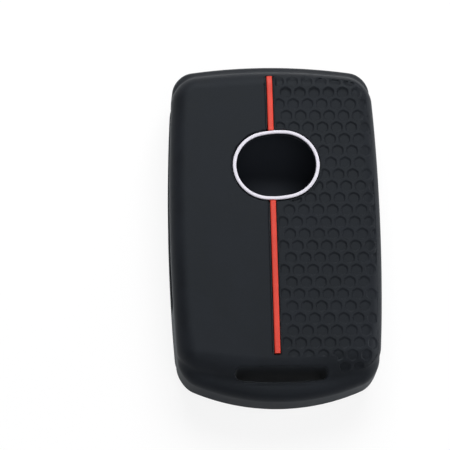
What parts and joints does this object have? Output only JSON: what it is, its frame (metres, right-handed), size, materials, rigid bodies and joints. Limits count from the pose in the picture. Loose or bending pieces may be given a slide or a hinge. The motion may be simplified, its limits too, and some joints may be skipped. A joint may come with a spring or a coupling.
{
  "type": "key fob cover",
  "caption": "Moulded black silicone sleeve for a car key fob, with an open button edge, an oval front window with a white ring, red stripe inlays and a lanyard bar.",
  "frame": {"origin": "under the middle of the cover, on the surface that its back lies on", "axes": "+X to the right of the front face, +Y up the cover towards its neck, +Z out of the front face"},
  "size_m": [0.0504, 0.084, 0.0189],
  "materials": {
    "black_silicone": "matte",
    "white_silicone": "satin",
    "red_silicone": "satin"
  },
  "bodies": {
    "root": {"sleeve": "black_silicone", "window_ring": "white_silicone", "stripe_upper": "red_silicone", "stripe_lower": "red_silicone"}
  },
  "joints": []
}
